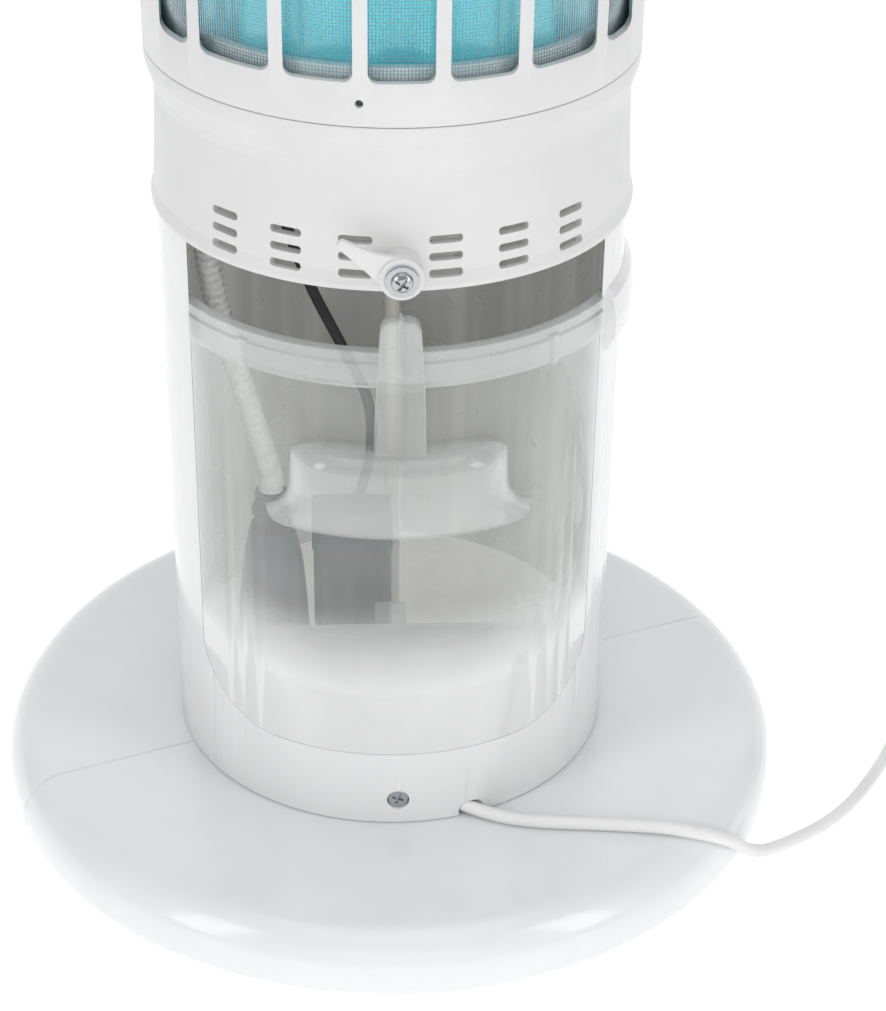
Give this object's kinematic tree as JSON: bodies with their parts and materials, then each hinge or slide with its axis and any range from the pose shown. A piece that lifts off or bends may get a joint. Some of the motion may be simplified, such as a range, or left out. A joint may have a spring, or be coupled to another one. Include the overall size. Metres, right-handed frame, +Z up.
{
  "type": "electric bug zapper",
  "caption": "Floor-standing electric bug zapper: disc foot, milky column with a sliding clear catch tray, slotted fan collar with a turn latch, and a windowed UV lamp head.",
  "frame": {"origin": "centre of the foot's underside, at the floor", "axes": "+Z up along the column, -Y towards the latch and catch tray, +X to the right seen from the front"},
  "size_m": [0.5246, 0.334, 0.596],
  "materials": {
    "gloss_white": "gloss",
    "satin_white": "satin",
    "milky": "satin",
    "clear": "gloss",
    "rubber": "matte",
    "teal": "gloss",
    "aqua": "matte",
    "smoke": "gloss",
    "blue_grey": "satin",
    "dark_blue_grey": "matte",
    "ceramic": "matte",
    "black": "matte",
    "zinc": "satin",
    "wire": "satin",
    "lamp_glass": "gloss",
    "cord_white": "satin"
  },
  "bodies": {
    "stand": {"base_half_front": "gloss_white", "base_half_rear": "gloss_white", "base_joiner_plate": "zinc", "rubber_pad_1": "rubber", "rubber_pad_2": "rubber", "rubber_pad_3": "rubber", "rubber_pad_4": "rubber", "rubber_pad_5": "rubber", "column_shell": "milky", "front_screw": "zinc", "deck_plate": "satin_white", "rear_liner": "smoke", "lure_canister": "blue_grey", "hose_coupling": "dark_blue_grey", "lure_hose": "ceramic", "driver_box": "dark_blue_grey", "driver_lid": "blue_grey", "lamp_lead": "black", "support_post": "ceramic", "sight_tab": "clear", "collar": "satin_white", "latch_screw": "zinc", "fan_motor": "wire", "motor_bracket": "satin_white", "cage_ring": "satin_white", "cage": "satin_white", "grid_hem": "aqua", "shock_grid": "wire", "grid_upper_ring": "ceramic", "lamp_sleeve": "teal", "lamp_base": "ceramic", "uv_lamp_left": "lamp_glass", "uv_lamp_right": "lamp_glass", "lamp_top_plate": "ceramic", "top_cap": "gloss_white", "switch_module": "black", "handle_pin_left": "zinc", "handle_pin_right": "zinc", "cord_relief": "cord_white", "cord_run": "cord_white", "cord_coil": "cord_white", "coil_tie": "black", "cord_tail": "cord_white", "plug_body": "cord_white", "plug_pin_left": "zinc", "plug_pin_right": "zinc"},
    "tray": {"catch_tray": "clear", "catch_cup": "satin_white"},
    "latch": {"latch_lever": "satin_white"},
    "fan": {"fan_rotor": "dark_blue_grey"},
    "button": {"power_button": "aqua"},
    "handle": {"carry_handle": "satin_white"}
  },
  "joints": [
    {"name": "tray_slide", "type": "slide", "parent": "stand", "child": "tray", "axis": [0, -1, 0], "range_m": [0, 0.075]},
    {"name": "latch_turn", "type": "hinge", "parent": "stand", "child": "latch", "pos_m": [0, -0.1018, 0.2846], "axis": [0, -1, 0], "range_deg": [0, 123]},
    {"name": "fan_spin", "type": "hinge", "parent": "stand", "child": "fan", "pos_m": [0, 0, 0.303], "axis": [0, 0, 1], "continuous": true},
    {"name": "power_press", "type": "slide", "parent": "stand", "child": "button", "axis": [0, 0, -1], "range_m": [0, 0.0024], "stiffness_N_per_m": 300, "springref_m": -0.001},
    {"name": "handle_swing", "type": "hinge", "parent": "stand", "child": "handle", "pos_m": [0, 0, 0.591], "axis": [1, 0, 0], "range_deg": [0, 90]}
  ]
}
